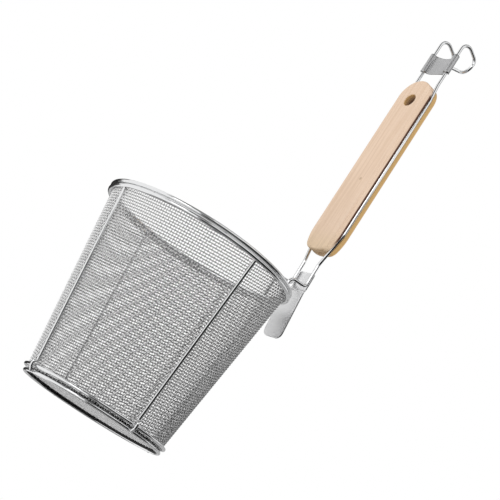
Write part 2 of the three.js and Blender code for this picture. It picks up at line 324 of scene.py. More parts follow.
def hoop(radius: float, z: float, wire: float, steps: int = 240, sides: int = 20) -> Surface:
    """Wire ring: a circle of the wire's section turned round the basket's axis.

    Args:
        radius: Axis to the middle of the wire.
        z: Height of the wire's middle.
        wire: Wire diameter.
        steps: Sections round the axis.
        sides: Points round the wire.

    Returns:
        The closed ring.
    """
    turn = np.linspace(0, 2 * np.pi, steps, endpoint=False)[:, None]
    angle = np.linspace(0, 2 * np.pi, sides, endpoint=False)[None, :]
    reach = radius + wire / 2 * np.cos(angle)
    height = z + wire / 2 * np.sin(angle) + 0 * turn
    return loft(np.stack([reach * np.cos(turn), reach * np.sin(turn), height], axis=-1), closed=True)


def bead(centre: np.ndarray, axes: np.ndarray, rows: int = 9, columns: int = 14) -> Surface:
    """Weld bead: an ellipsoid c + a sin p cos q + b sin p sin q + d cos p, with flat poles.

    Args:
        centre: Middle of the bead.
        axes: Its three half axes, one to a row.
        rows: Rings from pole to pole.
        columns: Points in a ring.

    Returns:
        The closed bead.
    """
    polar = np.linspace(POLE_TURN, np.pi - POLE_TURN, rows)[:, None, None]
    round_it = np.linspace(0, 2 * np.pi, columns, endpoint=False)[None, :, None]
    wide = np.sin(polar) * (np.cos(round_it) * axes[0] + np.sin(round_it) * axes[1])
    return loft(centre + wide + np.cos(polar) * axes[2])


def around(azimuth: Union[float, np.ndarray]) -> np.ndarray:
    """Direction out from the basket's axis at an azimuth."""
    azimuth = np.asarray(azimuth)
    return np.stack([np.cos(azimuth), np.sin(azimuth), 0 * azimuth], axis=-1)


# Shaders


Input = Union["Value", float, Sequence[float]]


class Value:
    """One output of a shader tree, with arithmetic that adds Math nodes."""

    def __init__(self, shader: "Shader", socket: bpy.types.NodeSocket) -> None:
        """Keeps the socket and the tree that it belongs to."""
        self.shader = shader
        self.socket = socket

    def math(self, operation: str, first: Input, second: Input = 0.0) -> "Value":
        """Result of one Math node."""
        return self.shader.node("ShaderNodeMath", {"operation": operation}, {0: first, 1: second})

    def __add__(self, other: Input) -> "Value":
        """Sum."""
        return self.math("ADD", self, other)

    __radd__ = __add__

    def __sub__(self, other: Input) -> "Value":
        """Difference."""
        return self.math("SUBTRACT", self, other)

    def __rsub__(self, other: Input) -> "Value":
        """Difference from a number."""
        return self.math("SUBTRACT", other, self)

    def __mul__(self, other: Input) -> "Value":
        """Product."""
        return self.math("MULTIPLY", self, other)

    __rmul__ = __mul__

    def largest(self, other: Input) -> "Value":
        """Larger of two values."""
        return self.math("MAXIMUM", self, other)

    def step(self, low: float, high: float) -> "Value":
        """Smooth rise from 0 at one value to 1 at another."""
        settings = {"interpolation_type": "SMOOTHSTEP"}
        return self.shader.node("ShaderNodeMapRange", settings, {0: self, 1: low, 2: high})


class Shader:
    """Node tree that is written as Python expressions."""

    def __init__(self, tree: bpy.types.NodeTree) -> None:
        """Starts from an empty tree."""
        self.tree = tree
        tree.nodes.clear()

    def node(self, kind: str, settings: dict[str, Any], inputs: dict[Any, Input], output: Any = 0) -> Value:
        """Adds a node of any type.

        Args:
            kind: Blender's name of the node type.
            settings: The node's own properties, set first.
            inputs: Values or links by socket name or number.
            output: Name or number of the output to hand on.

        Returns:
            That output.
        """
        node = self.tree.nodes.new(kind)
        for name, setting in settings.items():
            setattr(node, name, setting)
        for name, value in inputs.items():
            if isinstance(value, Value):
                self.tree.links.new(value.socket, node.inputs[name])
            else:
                node.inputs[name].default_value = value
        return Value(self, node.outputs[output]) if len(node.outputs) else Value(self, None)

    def place(self, scale: Sequence[float], turn: Sequence[float] = (0, 0, 0)) -> Value:
        """Object coordinates in metres, turned and then stretched.

        Args:
            scale: Stretch along each axis.
            turn: Euler angles that bring the piece's own axes to the pattern's.

        Returns:
            The pattern's coordinates.
        """
        here = self.node("ShaderNodeTexCoord", {}, {}, "Object")
        spin = {"Vector": here, "Rotation": turn}
        turned = self.node("ShaderNodeVectorRotate", {"rotation_type": "EULER_XYZ"}, spin)
        return self.node("ShaderNodeVectorMath", {"operation": "MULTIPLY"}, {0: turned, 1: scale})

    def noise(self, where: Value, scale: float, detail: float = 2.0, roughness: float = 0.5) -> Value:
        """Noise from 0 to 1 over the given coordinates."""
        inputs = {"Vector": where, "Scale": scale, "Detail": detail, "Roughness": roughness}
        return self.node("ShaderNodeTexNoise", {}, inputs, 0)

    def mark(self, name: str) -> Value:
        """Value that the mesh carries on its points."""
        return self.node("ShaderNodeAttribute", {"attribute_name": name}, {}, "Fac")

    def mix(self, share: Input, first: Input, second: Input) -> Value:
        """Colour between two colours."""
        inputs = {0: share, 6: first, 7: second}
        return self.node("ShaderNodeMix", {"data_type": "RGBA"}, inputs, 2)

    def bump(self, height: Value, depth: float, strength: float = 1.0) -> Value:
        """Normal bent by a height from 0 to 1 that stands for a depth in metres."""
        return self.node("ShaderNodeBump", {}, {"Height": height, "Distance": depth, "Strength": strength})

    def surface(self, inputs: dict[str, Input]) -> None:
        """Ends a material in one Principled shader."""
        shader = self.node("ShaderNodeBsdfPrincipled", {}, inputs)
        self.node("ShaderNodeOutputMaterial", {}, {"Surface": shader})


def rgba(colour: Colour) -> tuple[float, float, float, float]:
    """Opaque colour."""
    return (*colour, 1.0)


def tinted(colour: Colour, factor: float) -> tuple[float, float, float, float]:
    """Opaque colour made darker or lighter by a factor."""
    return rgba(tuple(min(1.0, channel * factor) for channel in colour))


def new_material(name: str) -> tuple[bpy.types.Material, Shader]:
    """Makes a material and the shader that its nodes are written with."""
    material = bpy.data.materials.new(name)
    material.use_nodes = True
    return material, Shader(material.node_tree)


def linked(name: str, data: bpy.types.ID) -> bpy.types.Object:
    """Makes an object that holds the data and puts it into the scene."""
    made = bpy.data.objects.new(name, data)
    bpy.context.scene.collection.objects.link(made)
    return made


# Finishes


@dataclass(frozen=True)
class Finish:
    """A surface finish: its material's name and the record's slot that it stands for."""

    name: str
    slot: Slot

    def paint(self, shader: Shader) -> None:
        """Builds the material's nodes."""
        raise NotImplementedError

    def material(self) -> bpy.types.Material:
        """The finish as a material, made the first time that it is asked for."""
        found = bpy.data.materials.get(self.name)
        if found is None:
            found, shader = new_material(self.name)
            self.paint(shader)
        return found


@dataclass(frozen=True)
class SteelFinish(Finish):
    """Bare stainless steel with a cloudy gloss and fine marks."""

    colour: Colour
    gloss: tuple[float, float]
    cloud: float = 90.0
    grain_scale: float = 2500.0
    grain_depth: float = 4e-6
    tone: float = 0.93

    def paint(self, shader: Shader) -> None:
        """Tone and gloss follow a cloudy noise, and a fine noise makes shallow marks."""
        where = shader.place((1, 1, 1))
        cloud = shader.noise(where, self.cloud, 3.0, 0.6)
        grain = shader.noise(where, self.grain_scale, 2.0, 0.6)
        smooth, rough = self.gloss
        shader.surface({
            "Base Color": shader.mix(cloud, tinted(self.colour, self.tone), rgba(self.colour)),
            "Metallic": 1.0,
            "Roughness": smooth + cloud * (rough - smooth),
            "Normal": shader.bump(grain, self.grain_depth),
        })


@dataclass(frozen=True)
class WoodFinish(Finish):
    """Pale unvarnished wood with fine straight grain along the handle."""

    face: Colour
    streak: Colour
    edge: Colour
    end: Colour
    # Dark brown painted shade for the gap in front of each wire and down the hole's wall.
    groove: Colour
    low: Colour
    lean: float
    low_span: tuple[float, float]
    knot: tuple[float, float, float]
    knot_reach: tuple[float, float] = (0.0007, 0.0017)
    knot_depth: float = 0.6

    def paint(self, shader: Shader) -> None:
        """Streaks run along the leaning handle; the foot, narrow sides, ends and a knot differ in colour."""
        turn = (0.0, -self.lean, 0.0)
        broad = shader.noise(shader.place((1, 1, 0.03), turn), 430.0, 4.0, 0.62)
        fine = shader.noise(shader.place((1, 1, 0.02), turn), 1500.0, 3.0, 0.6)
        pores = shader.noise(shader.place((1, 1, 0.06), turn), 2600.0, 2.0, 0.5).step(0.62, 0.74)
        streaks = (broad * 0.6 + fine * 0.4).step(0.40, 0.62)
        cloudy = shader.noise(shader.place((1, 1, 0.5), turn), 45.0, 2.0, 0.5).step(0.35, 0.7)
        face = shader.mix(streaks * 0.6 + pores * 0.18, rgba(self.face), rgba(self.streak))
        face = shader.mix(cloudy * 0.12, face, rgba(self.streak))
        side = shader.mix(streaks * 0.55, rgba(self.edge), tinted(self.edge, 0.86))
        here = shader.place((1, 1, 1))
        height = shader.node("ShaderNodeSeparateXYZ", {}, {0: here}, "Z")
        low = shader.mix(streaks, rgba(self.low), tinted(self.low, 0.86))
        face = shader.mix(1 - height.step(*self.low_span), face, low)
        places = {0: here, 1: self.knot}
        away = shader.node("ShaderNodeVectorMath", {"operation": "DISTANCE"}, places, "Value")
        spot = self.knot_depth - away.step(*self.knot_reach) * self.knot_depth
        face = shader.mix(spot, face, rgba(self.end))
        colour = shader.mix(shader.mark("side"), face, side)
        colour = shader.mix(shader.mark("end"), colour, rgba(self.end))
        # Painted shade: the groove mark darkens the gap in front of each wire and the hole's wall.
        colour = shader.mix(shader.mark("groove"), colour, rgba(self.groove))
        shader.surface({
            "Base Color": colour,
            "Roughness": 0.58 + fine * 0.16,
            "Specular IOR Level": 0.3,
            "Normal": shader.bump(fine * 0.6 + pores * 0.4, 4e-5, 0.5),
        })


WIRE = SteelFinish("polished_wire", Slot.WIRE, (0.84, 0.845, 0.85), (0.08, 0.15))
# The mesh is one steel. The copy for the upright strands and the base is painted near white as painted
# highlight, and the copy for the level strands is painted dark grey as painted shade.
STRANDS_PAINTED_LIGHT = SteelFinish("strands_painted_highlight", Slot.MESH, (0.96, 0.96, 0.96), (0.04, 0.08), grain_depth=4e-7)
STRANDS_PAINTED_SHADE = SteelFinish("level_strands_painted_shade", Slot.MESH, (0.34, 0.34, 0.342), (0.04, 0.08), grain_depth=4e-7)
# Near-black painted shade on the turned-up edge of the base mesh, standing for the dark row between the
# girdle and the foot ring.
FOLD_PAINTED_SHADE = SteelFinish("turned_up_edge_painted_shade", Slot.MESH, (0.05, 0.05, 0.05), (0.55, 0.65))
WELD = SteelFinish("weld_bead", Slot.WIRE, (0.66, 0.66, 0.66), (0.22, 0.42), cloud=900.0)
MIRROR = SteelFinish("mirror_plate", Slot.PLATE, (0.80, 0.80, 0.805), (0.30, 0.36), grain_depth=1e-6)
SATIN = SteelFinish("satin_sheet", Slot.KEEPER, (0.50, 0.50, 0.505), (0.30, 0.36), grain_depth=6e-7)


def place(name: str, surface: Surface, finish: Finish, nodes: Sequence[str] = ()) -> bpy.types.Object:
    """Makes a finished piece that rides on the part and stands for CAD nodes.

    Args:
        name: Name of the piece.
        surface: Its shape.
        finish: Its finish.
        nodes: CAD nodes that it replaces.

    Returns:
        The piece.
    """
    piece = linked(name, surface.mesh(name))
    piece.data.materials.append(finish.material())
    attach(piece, BODY)
    if nodes:
        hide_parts(*nodes)
    log.info("%s: %d points, stands for %s", name, len(surface.points), ", ".join(nodes) or "no node")
    return piece


# Basket


@dataclass
class BasketShape:
    """Cone of the mesh wall and the rings round it, read from the CAD nodes."""

    gap: float = 0.3

    def __post_init__(self) -> None:
        """Reads the rings' and the wall's boxes."""
        wall, foot, rim = NodeBox.of("mesh_wall"), NodeBox.of("foot_ring"), NodeBox.of("rim_ring_lower")
        self.foot_wire = foot.size[2]
        self.foot_radius = foot.size[1] / 2 - self.foot_wire / 2
        self.low, self.high = wall.low[2], wall.high[2]
        self.rim_radius = rim.size[1] / 2 - rim.size[2] - self.gap
        self.slope = (self.rim_radius - self.foot_radius) / (self.high - self.low)
        self.tilt = math.atan(self.slope)

    def radius(self, z: Union[float, np.ndarray]) -> Union[float, np.ndarray]:
        """Outer radius of the mesh wall at a height."""
        return self.foot_radius + self.slope * (z - self.low)


@dataclass
class Strands:
    """Stations of parallel strands that are cut to spans, all strands in one flat list."""

    line: np.ndarray
    along: np.ndarray
    strand: np.ndarray

    @classmethod
    def cut(cls, lines: np.ndarray, starts: np.ndarray, ends: np.ndarray, step: float) -> "Strands":
        """Places stations at every multiple of a step inside each span, and at both of its ends.

        Args:
            lines: Number of the weave's line that each span lies on.
            starts: Where each span starts.
            ends: Where it ends.
            step: Distance between stations.

        Returns:
            The stations of all spans.
        """
        long_enough = ends - starts > step
        lines, starts, ends = lines[long_enough], starts[long_enough], ends[long_enough]
        first = np.floor(starts / step)
        counts = (np.ceil(ends / step) - first).astype(int) + 1
        strand = np.repeat(np.arange(len(counts)), counts)
        local = np.arange(counts.sum()) - (np.cumsum(counts) - counts)[strand]
        along = np.clip((first[strand] + local) * step, starts[strand], ends[strand])
        return cls(lines[strand], along, strand)

    def skin(self, centres: np.ndarray, across: np.ndarray, rise: np.ndarray, radius: float) -> Surface:
        """Four-sided wires through the stations, shaded round: c + r (cos a S + sin a U).

        Args:
            centres: Middle of the wire at each station.
            across: First direction square to the wire.
            rise: Second direction, so that across x rise runs along the wire.
            radius: Wire radius.

        Returns:
            All wires as one surface, with their ends closed.
        """
        corners = np.stack([across, rise, -across, -rise], axis=1)
        points = (centres[:, None] + radius * corners).reshape(-1, 3)
        same = np.flatnonzero(self.strand[:-1] == self.strand[1:])
        side = np.arange(4)
        here, ahead = 4 * same[:, None], 4 * same[:, None] + 4
        beside = (side + 1) % 4
        walls = np.stack([here + side, here + beside, ahead + beside, ahead + side], axis=-1).reshape(-1, 4)
        changes = np.flatnonzero(np.diff(self.strand))
        firsts = np.concatenate([[0], changes + 1])
        lasts = np.concatenate([changes, [len(self.strand) - 1]])
        caps = np.concatenate([4 * firsts[:, None] + side[::-1], 4 * lasts[:, None] + side])
        return Surface(points, [walls, caps])


@dataclass
class WovenMesh:
    """Plain-woven wire mesh: a wall cut from one flat sheet and a round base.

    On the flat sheet the strands lie on x = i p and y = j p. A strand's middle rises and falls by
    A (-1)^i cos(pi y / p), and its crossing strands by -A (-1)^j cos(pi x / p), so each passes over and
    under the next.
    """

    shape: BasketShape
    pitch: float = 1.84
    warp: float = 0.62
    weft: float = 0.52
    sway: float = 1.4
    fold_foot: float = 0.9
    fold_gap: float = 0.5
    fold_sheet: float = 0.4
    thickness: float = 1.0
    overlap: float = 5.0
    middle: float = math.radians(208)
    parts: int = 2

    def __post_init__(self) -> None:
        """Works out the flat sheet that rolls up into the wall."""
        self.sin_tilt = math.sin(self.shape.tilt)
        self.cos_tilt = math.cos(self.shape.tilt)
        inset = self.thickness / 2
        self.inner = (self.shape.radius(self.shape.low) - inset) / self.sin_tilt
        self.outer = (self.shape.radius(self.shape.high) - inset) / self.sin_tilt
        self.half_angle = math.pi * self.sin_tilt
        self.lap_angle = self.overlap / self.outer

    def lift(self, line: np.ndarray, along: np.ndarray, sign: float) -> np.ndarray:
        """Height of a strand's middle above the middle of the weave."""
        height = self.sway * (self.warp + self.weft) / 4
        return sign * height * (1 - 2 * (line % 2)) * np.cos(np.pi * along / self.pitch)

    def on_cone(self, x: np.ndarray, y: np.ndarray, lift: np.ndarray) -> tuple[np.ndarray, ...]:
        """Rolls the flat sheet up into the wall.

        A flat point at distance d from the cone's tip and angle f from the sheet's middle line goes to the
        azimuth m + f / sin(tilt), the radius d sin(tilt) and the height of d cos(tilt). One edge of the sheet
        eases outwards to lap over the other.

        Args:
            x: Across the flat sheet.
            y: Along the flat sheet, from the cone's tip.
            lift: Height above the sheet.

        Returns:
            The points, and the directions that x, y and the sheet's normal take there.
        """
        distance, angle = np.hypot(x, y), np.arctan2(x, y)
        azimuth = self.middle + angle / self.sin_tilt
        outward = around(azimuth)
        aside = around(azimuth + np.pi / 2)
        slant = self.sin_tilt * outward + self.cos_tilt * UP
        normal = self.cos_tilt * outward - self.sin_tilt * UP
        lap = self.thickness * eased((angle - self.half_angle + 1.5 * self.lap_angle) / self.lap_angle)
        height = self.shape.low + (distance - self.inner) * self.cos_tilt
        points = (distance * self.sin_tilt)[:, None] * outward + height[:, None] * UP
        points += (lift + lap)[:, None] * normal
        cos_angle, sin_angle = np.cos(angle)[:, None], np.sin(angle)[:, None]
        return points, sin_angle * slant + cos_angle * aside, cos_angle * slant - sin_angle * aside, normal

    def upright_spans(self) -> tuple[np.ndarray, np.ndarray, np.ndarray]:
        """Spans of the strands along the sheet, between its foot arc or side edges and its rim arc."""
        left, right = self.half_angle, self.half_angle + self.lap_angle
        lines = np.arange(math.ceil(-self.outer * math.sin(left) / self.pitch),
                          math.floor(self.outer * math.sin(right) / self.pitch) + 1)
        x = lines * self.pitch
        edge = np.where(x < 0, -x / math.tan(left), x / math.tan(right))
        foot = np.sqrt(np.maximum(self.inner ** 2 - x ** 2, 0))
        return lines, np.maximum(foot, edge), np.sqrt(self.outer ** 2 - x ** 2)

    def level_spans(self) -> tuple[np.ndarray, np.ndarray, np.ndarray]:
        """Spans of the strands across the sheet, in two halves so that the foot arc can part them."""
        left, right = self.half_angle, self.half_angle + self.lap_angle
        lines = np.arange(math.ceil(self.inner * math.cos(right) / self.pitch),
                          math.floor(self.outer / self.pitch) + 1)
        y = lines * self.pitch
        parted = np.sqrt(np.maximum(self.inner ** 2 - y ** 2, 0))
        rim = np.sqrt(np.maximum(self.outer ** 2 - y ** 2, 0))
        low = np.minimum(rim, y * math.tan(left))
        high = np.minimum(rim, y * math.tan(right))
        whole = parted == 0
        lines_all = np.concatenate([lines[whole], lines[~whole], lines[~whole]])
        starts = np.concatenate([-low[whole], -low[~whole], parted[~whole]])
        ends = np.concatenate([high[whole], -parted[~whole], high[~whole]])
        return lines_all, starts, ends

    def wall(self, upright: bool, part: int) -> Surface:
        """One part of the wall's strands in one direction.

        Args:
            upright: Whether the strands run along the sheet.
            part: Which of the equal parts.

        Returns:
            The strands of that part.
        """
        spans = self.upright_spans() if upright else self.level_spans()
        lines, starts, ends = (values[part::self.parts] for values in spans)
        strands = Strands.cut(lines, starts, ends, self.pitch / 2)
        fixed = strands.line * self.pitch
        lift = self.lift(strands.line, strands.along, 1.0 if upright else -1.0)
        x, y = (fixed, strands.along) if upright else (strands.along, fixed)
        points, way_x, way_y, normal = self.on_cone(x, y, lift)
        first, second = (normal, way_x) if upright else (way_y, normal)
        return strands.skin(points, first, second, (self.warp if upright else self.weft) / 2)

    def base(self, radius: float, z: float) -> Surface:
        """Round base: strands in both directions, cut to a circle.

        Args:
            radius: Radius of the base.
            z: Height of the middle of the weave.

        Returns:
            All strands of the base.
        """
        count = math.floor(radius / self.pitch)
        lines = np.arange(-count, count + 1)
        half = np.sqrt(np.maximum(radius ** 2 - (lines * self.pitch) ** 2, 0))
        strands = Strands.cut(lines, -half, half, self.pitch / 2)
        fixed = strands.line * self.pitch
        ways = np.broadcast_to(np.eye(3)[:, None], (3, len(fixed), 3))
        parts = []
        for upright in (True, False):
            lift = z + self.lift(strands.line, strands.along, 1.0 if upright else -1.0)
            x, y = (fixed, strands.along) if upright else (strands.along, fixed)
            first, second = (ways[2], ways[0]) if upright else (ways[1], ways[2])
            wire = self.warp if upright else self.weft
            parts.append(strands.skin(np.stack([x, y, lift], axis=-1), first, second, wire / 2))
        return Surface.joined(parts)

    def fold(self) -> Surface:
        """Edge of the base mesh, turned up inside the wall's foot: a dull sheet whose near-black colour is
        painted shade for the dark row between the girdle and the foot ring.
        """
        girdle = NodeBox.of("girdle_ring")
        heights = np.array([self.fold_foot, girdle.low[2], girdle.low[2], self.fold_foot])
        inset = self.thickness + self.fold_gap + np.array([0.0, 0.0, self.fold_sheet, self.fold_sheet])
        radii = self.shape.radius(heights) - inset
        turn = np.linspace(0, 2 * np.pi, 180, endpoint=False)
        rings = radii[None, :, None] * around(turn)[:, None, :] + heights[None, :, None] * UP
        return loft(rings, closed=True)

    def build(self) -> None:
        """Makes the wall's four parts, the base and its turned-up edge, coloured as painted shade."""
        # Upright strands get the painted-highlight copy of the steel and level strands the painted-shade
        # copy.
        for upright, way, finish in ((True, "upright", STRANDS_PAINTED_LIGHT), (False, "level", STRANDS_PAINTED_SHADE)):
            for part in range(self.parts):
                place(f"mesh_wall_{way}_{part + 1}", self.wall(upright, part), finish, ["mesh_wall"])
        # The turned-up edge is coloured near-black as painted shade.
        place("mesh_base_fold_painted_shade", self.fold(), FOLD_PAINTED_SHADE)
        box = NodeBox.of("mesh_base")
        # The base's strands get the painted-highlight copy of the steel.
        place("mesh_base_weave", self.base(box.size[1] / 2, box.middle[2]), STRANDS_PAINTED_LIGHT, ["mesh_base"])


@dataclass
class WireFrame:
    """Rings and ribs of round wire that hold the mesh, with the beads that weld them together."""

    shape: BasketShape
    rib_wire: float = 2.3
    rib_gap: float = 0.3
    rib_turn: float = 0.0
    rib_count: int = 4
    jog_rise: float = 2.2
    jog_radius: float = 2.6
    rings: tuple[str, ...] = ("rim_ring_upper", "rim_ring_lower", "girdle_ring", "foot_ring")

    def ring(self, node: str) -> tuple[float, float, float]:
        """Radius, height and wire of one ring, from its box."""
        box = NodeBox.of(node)
        wire = box.size[2]
        return box.size[1] / 2 - wire / 2, box.middle[2], wire

    def rib_profile(self) -> np.ndarray:
        """Radius and height of a rib's middle line, from the rim's lower ring to the foot ring."""
        _, rim_z, rim_wire = self.ring("rim_ring_lower")
        girdle_radius, girdle_z, girdle_wire = self.ring("girdle_ring")
        proud = (self.rib_gap + self.rib_wire / 2) / math.cos(self.shape.tilt)
        top = rim_z - rim_wire / 2
        jog = girdle_z + girdle_wire / 2 + self.jog_rise
        over = girdle_radius + (girdle_wire + self.rib_wire) / 2 + self.rib_gap
        beside = self.shape.foot_radius + (self.shape.foot_wire + self.rib_wire) / 2 + self.rib_gap
        corners = np.array([
            [self.shape.radius(top) + proud, 0, top],
            [self.shape.radius(jog) + proud, 0, jog],
            [over, 0, girdle_z + girdle_wire],
            [over, 0, girdle_z - girdle_wire / 2],
            [beside, 0, self.shape.foot_wire / 2],
        ])
        return rounded_route(corners, np.full(len(corners), self.jog_radius), BEND_STEP)

    def rib(self, index: int) -> tuple[Surface, float]:
        """One rib and its azimuth."""
        azimuth = self.rib_turn + 2 * np.pi * index / self.rib_count
        profile = self.rib_profile()
        path = profile[:, :1] * around(azimuth) + profile[:, 2:] * UP
        path, radii = rounded_ends(path, self.rib_wire / 2)
        return sweep(path, radii, WIRE_SIDES), azimuth

    def rib_welds(self, azimuth: float) -> Surface:
        """Beads where a rib meets the rim, the girdle and the foot ring."""
        out, aside = around(azimuth), around(azimuth + np.pi / 2)
        half = self.rib_wire / 2
        rim_radius, rim_z, rim_wire = self.ring("rim_ring_lower")
        girdle_radius, girdle_z, girdle_wire = self.ring("girdle_ring")
        foot_radius, foot_z, foot_wire = self.ring("foot_ring")
        spots = (
            (rim_radius - 0.5 * half, rim_z - 0.55 * rim_wire, (1.0, 1.15, 0.9)),
            (girdle_radius + girdle_wire / 2, girdle_z, (0.7, 1.2, 0.8)),
            (foot_radius + foot_wire / 2, foot_z, (0.7, 1.2, 0.8)),
        )
        beads = []
        for radius, z, (deep, wide, tall) in spots:
            axes = half * np.array([deep * out, wide * aside, tall * UP])
            beads.append(bead(radius * out + z * UP, axes))
        return Surface.joined(beads)

    def build(self) -> None:
        """Makes the rings, the ribs and their welds."""
        for node in self.rings:
            place(f"{node}_wire", hoop(*self.ring(node)), WIRE, [node])
        for index in range(self.rib_count):
            surface, azimuth = self.rib(index)
            place(f"rib_{index + 1}_wire", surface, WIRE, [f"rib_{index + 1}"])
            place(f"rib_{index + 1}_welds", self.rib_welds(azimuth), WELD)
        upper, lower = self.ring("rim_ring_upper"), self.ring("rim_ring_lower")
        turns = self.rib_turn + np.pi / 8 + np.arange(8) * np.pi / 4
        beads = [self.rim_weld(turn, upper, lower) for turn in turns]
        place("rim_welds", Surface.joined(beads), WELD)

    @staticmethod
    def rim_weld(turn: float, upper: tuple[float, ...], lower: tuple[float, ...]) -> Surface:
        """Bead between the two rim rings at an azimuth."""
        radius, wire = upper[0], upper[2]
        axes = wire * np.array([0.2 * around(turn), 0.45 * around(turn + np.pi / 2), [0, 0, 0.22]])
        return bead(radius * around(turn) + np.array([0, 0, (upper[1] + lower[1]) / 2]), axes)


# Handle


@dataclass
class HandleLine:
    """The leaning line of the handle: places across it, along it from its neck, and outwards."""

    x: float = 85.05
    neck_z: float = 172.3
    lean: float = math.radians(1.4)

    def point(self, across: Any, along: Any, out: Any = 0.0) -> np.ndarray:
        """Places in the maker's frame, for numbers or arrays.

        Args:
            across: Distance from the handle's middle plane.
            along: Distance from the neck.
            out: Distance outwards from the wires' plane.

        Returns:
            Points, with their coordinates on the last axis.
        """
        across, along, out = np.broadcast_arrays(across, along, out)
        x = self.x + out * math.cos(self.lean) + along * math.sin(self.lean)
        z = self.neck_z - out * math.sin(self.lean) + along * math.cos(self.lean)
        return np.stack([x, across + 0.0 * x, z], axis=-1)


@dataclass
class HandleWire:
    """One bent wire: two legs from the rim over the bridge, past the grip, to the hook's cross bar."""

    line: HandleLine
    wire: float = 2.4
    seat_x: float = 70.95
    foot_z: float = 128.3
    bridge_z: float = 153.5
    bridge_fall: float = 1.2
    bridge_half: float = 8.4
    groove_half: float = 14.7
    spread_end: float = 25.6
    crown_start: float = 144.0
    grip_top: float = 159.0
    keeper_half: float = 12.3
    hook_top: float = 200.4
    hook_width: float = 16.5
    hook_drop: float = 16.5
    crown_radius: float = 6.0
    crown_fall: float = math.radians(22)
    hook_skew: float = 1.6
    bar_skew: float = 4.2
    bar_radii: tuple[float, float] = (8.5, 4.6)
    shoulder_radius: float = 4.0
    elbow_radius: float = 3.0
    spread_radius: float = 12.0
    weld: tuple[float, float, float] = (1.1, 1.3, 1.25)
    weld_inset: float = 1.2

    def crown_line(self, top: float, out: float) -> float:
        """Place along the handle of the hook's sloping run, carried on past both of its bends."""
        drop = (out - self.crown_radius) * math.sin(self.crown_fall)
        return top - self.crown_radius + (self.crown_radius - drop) / math.cos(self.crown_fall)

    def leg(self, side: int) -> tuple[np.ndarray, np.ndarray]:
        """Corners and bend radii of one leg.

        Args:
            side: -1 or 1, for the leg's side of the handle.

        Returns:
            The corners, from the rim to the cross bar, and the radius at each.
        """
        bridge, groove, keeper = side * self.bridge_half, side * self.groove_half, side * self.keeper_half
        hook, width = self.hook_top + side * self.hook_skew, self.hook_width
        drop = self.hook_drop - max(side, 0) * self.bar_skew
        corners = [
            np.array([self.seat_x, bridge, self.foot_z]),
            np.array([self.seat_x, bridge, self.bridge_z - self.bridge_fall]),
            np.array([self.line.x, bridge, self.bridge_z]),
            self.line.point(bridge, 0.0),
            self.line.point(groove, self.spread_end),
            self.line.point(groove, self.crown_start),
            self.line.point(keeper, self.grip_top),
            self.line.point(keeper, self.crown_line(hook, 0.0)),
            self.line.point(keeper, self.crown_line(hook, width), width),
            self.line.point(keeper, hook - drop, width),
        ]
        radii = [0.0, self.shoulder_radius, self.elbow_radius, *[self.spread_radius] * 4,
                 self.crown_radius, self.crown_radius, self.bar_radii[max(side, 0)]]
        return np.array(corners), np.array(radii)

    def build(self) -> None:
        """Makes the wire and the welds at its feet."""
        near, near_radii = self.leg(-1)
        far, far_radii = self.leg(1)
        corners = np.concatenate([near, far[::-1]])
        radii = np.concatenate([near_radii, far_radii[::-1]])
        path = rounded_route(corners, radii, BEND_STEP)
        place("handle_wire_loop", sweep(path, self.wire / 2, WIRE_SIDES), WIRE, ["handle_wire"])
        ring = NodeBox.of("rim_ring_upper")
        beads = []
        for side in (-1, 1):
            foot = np.array([self.seat_x, side * self.bridge_half, ring.middle[2]])
            out = unit(foot * np.array([1, 1, 0]))
            aside = np.array([-out[1], out[0], 0])
            deep, wide, tall = self.weld
            axes = np.array([deep * out, wide * aside, tall * UP])
            beads.append(bead(foot - self.weld_inset * out, axes))
        place("handle_welds", Surface.joined(beads), WELD)


